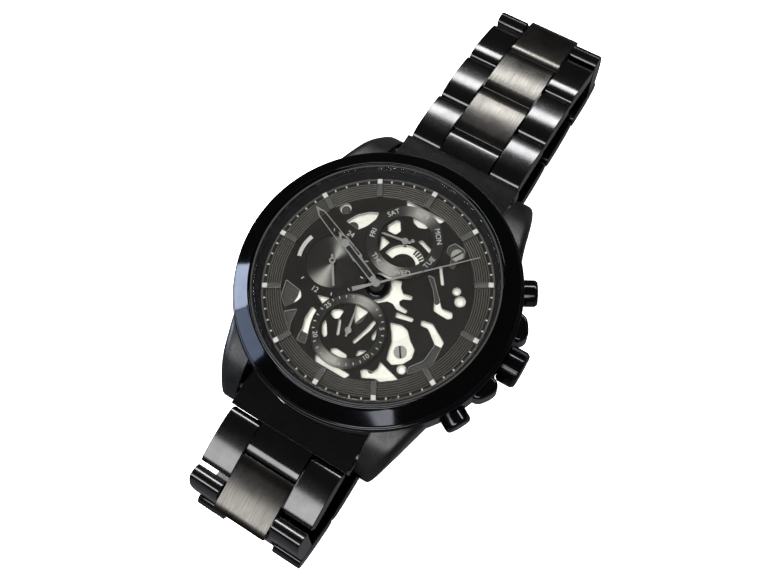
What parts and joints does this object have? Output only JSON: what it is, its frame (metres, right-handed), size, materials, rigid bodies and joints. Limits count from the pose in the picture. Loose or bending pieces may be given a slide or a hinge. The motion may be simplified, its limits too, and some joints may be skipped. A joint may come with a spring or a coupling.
{
  "type": "skeleton wristwatch",
  "caption": "Round quartz wristwatch with an open-worked dial, day, date and 24-hour sub-dials, crown, pushers and a three-row link bracelet with folding clasp.",
  "frame": {"origin": "on the axis of the hands, at the flat underside of the closed clasp cover, which is the face the watch rests on", "axes": "+Z out of the dial along the axis of the hands, +Y towards 12 o'clock, +X towards 3 o'clock and the crown"},
  "size_m": [0.0458, 0.0984, 0.0254],
  "materials": {
    "black_polished_steel": "black ion plating, polished",
    "black_brushed_steel": "black ion plating, brushed",
    "crystal_glass": "clear flat mineral glass",
    "seal_rubber": "moulded seal",
    "dial_black": "satin black",
    "silver_plate": "satin silver plating",
    "marker_steel": "dark polished with white inlay",
    "hand_steel": "polished edges, black centre",
    "wheel_brass": "machined",
    "holder_plastic": "moulded",
    "board_green": "printed circuit board",
    "copper_winding": "enamelled copper wire"
  },
  "bodies": {
    "case": {"case_middle": "black_polished_steel", "bezel": "black_polished_steel", "crystal": "crystal_glass", "crystal_gasket": "seal_rubber", "rehaut_ring": "black_polished_steel", "case_back": "black_brushed_steel", "dial_plate": "dial_black", "open_bridge": "silver_plate", "hour_markers": "marker_steel", "day_ring": "dial_black", "date_ring": "black_polished_steel", "dial_screw_upper": "silver_plate", "dial_screw_lower": "silver_plate", "main_plate": "silver_plate", "stator": "silver_plate", "coil": "copper_winding", "train_bridge": "silver_plate", "circuit_board": "board_green", "battery": "silver_plate", "movement_holder": "holder_plastic", "end_link_12": "black_polished_steel", "end_link_6": "black_polished_steel", "spring_bar_12": "silver_plate", "spring_bar_6": "silver_plate"},
    "hour_hand": {"hour_hand": "hand_steel", "hour_wheel": "wheel_brass"},
    "minute_hand": {"minute_hand": "hand_steel", "cannon_pinion": "wheel_brass"},
    "minute_wheel": {"minute_wheel": "wheel_brass"},
    "hand_24h": {"hand_24h": "hand_steel", "wheel_24h": "wheel_brass"},
    "seconds_hand": {"seconds_hand": "hand_steel", "seconds_wheel": "wheel_brass"},
    "centre_wheel": {"centre_wheel": "wheel_brass"},
    "third_wheel": {"third_wheel": "wheel_brass"},
    "step_wheel": {"step_wheel": "wheel_brass"},
    "rotor": {"rotor": "marker_steel"},
    "day_hand": {"day_hand": "hand_steel"},
    "date_hand": {"date_hand": "hand_steel"},
    "crown_stem": {"crown_stem": "silver_plate"},
    "crown": {"crown": "black_polished_steel"},
    "pusher_upper": {"pusher_upper": "black_polished_steel"},
    "pusher_lower": {"pusher_lower": "black_polished_steel"},
    "link_12_1": {"link_12_1": "black_polished_steel"},
    "link_12_2": {"link_12_2": "black_polished_steel"},
    "link_12_3": {"link_12_3": "black_polished_steel"},
    "link_12_4": {"link_12_4": "black_polished_steel"},
    "link_12_5": {"link_12_5": "black_polished_steel"},
    "link_12_6": {"link_12_6": "black_polished_steel"},
    "link_12_7": {"link_12_7": "black_polished_steel"},
    "link_12_8": {"link_12_8": "black_polished_steel"},
    "link_6_1": {"link_6_1": "black_polished_steel"},
    "link_6_2": {"link_6_2": "black_polished_steel"},
    "link_6_3": {"link_6_3": "black_polished_steel"},
    "link_6_4": {"link_6_4": "black_polished_steel"},
    "clasp_base": {"clasp_base": "black_brushed_steel"},
    "clasp_middle": {"clasp_middle": "black_brushed_steel"},
    "clasp_cover": {"clasp_cover": "black_polished_steel"},
    "clasp_button_right": {"clasp_button_right": "black_polished_steel"},
    "clasp_button_left": {"clasp_button_left": "black_polished_steel"}
  },
  "joints": [
    {"name": "minute_hand_turn", "type": "hinge", "parent": "case", "child": "minute_hand", "pos_m": [0, 0, 0.022], "axis": [0, 0, -1], "continuous": true},
    {"name": "hour_hand_turn", "type": "hinge", "parent": "case", "child": "hour_hand", "pos_m": [0, 0, 0.022], "axis": [0, 0, -1], "continuous": true},
    {"name": "minute_wheel_turn", "type": "hinge", "parent": "case", "child": "minute_wheel", "pos_m": [-0.00261, 0.00148, 0.02], "axis": [0, 0, -1], "continuous": true},
    {"name": "hand_24h_turn", "type": "hinge", "parent": "case", "child": "hand_24h", "pos_m": [-0.0078, 0, 0.022], "axis": [0, 0, -1], "continuous": true},
    {"name": "seconds_hand_turn", "type": "hinge", "parent": "case", "child": "seconds_hand", "pos_m": [0, 0, 0.022], "axis": [0, 0, -1], "continuous": true},
    {"name": "third_wheel_turn", "type": "hinge", "parent": "case", "child": "third_wheel", "pos_m": [0.00382, 0.00382, 0.0184], "axis": [0, 0, -1], "continuous": true},
    {"name": "centre_wheel_turn", "type": "hinge", "parent": "case", "child": "centre_wheel", "pos_m": [0, 0, 0.0188], "axis": [0, 0, -1], "continuous": true},
    {"name": "step_wheel_turn", "type": "hinge", "parent": "case", "child": "step_wheel", "pos_m": [0.00093, -0.00348, 0.0176], "axis": [0, 0, -1], "continuous": true},
    {"name": "rotor_turn", "type": "hinge", "parent": "case", "child": "rotor", "pos_m": [0.00316, -0.0057, 0.0178], "axis": [0, 0, -1], "continuous": true},
    {"name": "day_hand_turn", "type": "hinge", "parent": "case", "child": "day_hand", "pos_m": [0, 0.008, 0.022], "axis": [0, 0, -1], "continuous": true},
    {"name": "date_hand_turn", "type": "hinge", "parent": "case", "child": "date_hand", "pos_m": [0, -0.0079, 0.022], "axis": [0, 0, -1], "continuous": true},
    {"name": "crown_pull", "type": "slide", "parent": "case", "child": "crown_stem", "axis": [1, 0, 0], "range_m": [0, 0.0016]},
    {"name": "crown_turn", "type": "hinge", "parent": "crown_stem", "child": "crown", "pos_m": [0.0228, 0, 0.0194], "axis": [1, 0, 0], "continuous": true},
    {"name": "pusher_upper_press", "type": "slide", "parent": "case", "child": "pusher_upper", "axis": [-0.8746, -0.4848, 0], "range_m": [0, 0.001]},
    {"name": "pusher_lower_press", "type": "slide", "parent": "case", "child": "pusher_lower", "axis": [-0.8746, 0.4848, 0], "range_m": [0, 0.001]},
    {"name": "link_12_1_hinge", "type": "hinge", "parent": "case", "child": "link_12_1", "pos_m": [0, 0.0276, 0.017], "axis": [1, 0, 0], "range_deg": [0, 9]},
    {"name": "link_12_2_hinge", "type": "hinge", "parent": "link_12_1", "child": "link_12_2", "pos_m": [0, 0.03686, 0.01619], "axis": [1, 0, 0], "range_deg": [0, 7]},
    {"name": "link_12_3_hinge", "type": "hinge", "parent": "link_12_2", "child": "link_12_3", "pos_m": [0, 0.04607, 0.0149], "axis": [1, 0, 0], "range_deg": [0, 14]},
    {"name": "link_12_4_hinge", "type": "hinge", "parent": "link_12_3", "child": "link_12_4", "pos_m": [0, 0.05492, 0.01202], "axis": [1, 0, 0], "range_deg": [0, 76]},
    {"name": "link_12_5_hinge", "type": "hinge", "parent": "link_12_4", "child": "link_12_5", "pos_m": [0, 0.05492, 0.00272], "axis": [1, 0, 0], "range_deg": [0, 94]},
    {"name": "link_12_6_hinge", "type": "hinge", "parent": "link_12_5", "child": "link_12_6", "pos_m": [0, 0.04562, 0.00272], "axis": [1, 0, 0], "range_deg": [-10, 4]},
    {"name": "link_12_7_hinge", "type": "hinge", "parent": "link_12_6", "child": "link_12_7", "pos_m": [0, 0.03632, 0.00272], "axis": [1, 0, 0], "range_deg": [-10, 4]},
    {"name": "link_12_8_hinge", "type": "hinge", "parent": "link_12_7", "child": "link_12_8", "pos_m": [0, 0.02702, 0.00272], "axis": [1, 0, 0], "range_deg": [-10, 4]},
    {"name": "link_6_1_hinge", "type": "hinge", "parent": "case", "child": "link_6_1", "pos_m": [0, -0.0276, 0.017], "axis": [-1, 0, 0], "range_deg": [0, 14]},
    {"name": "link_6_2_hinge", "type": "hinge", "parent": "link_6_1", "child": "link_6_2", "pos_m": [0, -0.03676, 0.01539], "axis": [-1, 0, 0], "range_deg": [0, 74]},
    {"name": "link_6_3_hinge", "type": "hinge", "parent": "link_6_2", "child": "link_6_3", "pos_m": [0, -0.03837, 0.00623], "axis": [-1, 0, 0], "range_deg": [0, 81.86]},
    {"name": "link_6_4_hinge", "type": "hinge", "parent": "link_6_3", "child": "link_6_4", "pos_m": [0, -0.02976, 0.00272], "axis": [-1, 0, 0], "range_deg": [0, 26.14]},
    {"name": "clasp_base_hinge", "type": "hinge", "parent": "link_6_4", "child": "clasp_base", "pos_m": [0, -0.02046, 0.00272], "axis": [-1, 0, 0], "range_deg": [0, 4]},
    {"name": "clasp_middle_swing", "type": "hinge", "parent": "clasp_base", "child": "clasp_middle", "pos_m": [0, 0.0126, 0.00237], "axis": [1, 0, 0], "range_deg": [0, 150]},
    {"name": "clasp_cover_swing", "type": "hinge", "parent": "clasp_middle", "child": "clasp_cover", "pos_m": [0, -0.0156, 0.00237], "axis": [-1, 0, 0], "range_deg": [0, 150]},
    {"name": "clasp_button_right_press", "type": "slide", "parent": "clasp_cover", "child": "clasp_button_right", "axis": [-1, 0, 0], "range_m": [0, 0.0006]},
    {"name": "clasp_button_left_press", "type": "slide", "parent": "clasp_cover", "child": "clasp_button_left", "axis": [1, 0, 0], "range_m": [0, 0.0006]}
  ],
  "couplings": [
    {"joint": "hour_hand_turn", "follows": "minute_hand_turn", "ratio": 0.083333},
    {"joint": "minute_wheel_turn", "follows": "minute_hand_turn", "ratio": -0.33333},
    {"joint": "hand_24h_turn", "follows": "minute_hand_turn", "ratio": 0.041667},
    {"joint": "third_wheel_turn", "follows": "seconds_hand_turn", "ratio": -0.13333},
    {"joint": "centre_wheel_turn", "follows": "seconds_hand_turn", "ratio": 0.016667},
    {"joint": "step_wheel_turn", "follows": "seconds_hand_turn", "ratio": -5},
    {"joint": "rotor_turn", "follows": "seconds_hand_turn", "ratio": 30},
    {"joint": "clasp_middle_swing", "follows": "clasp_cover_swing", "ratio": 1}
  ]
}
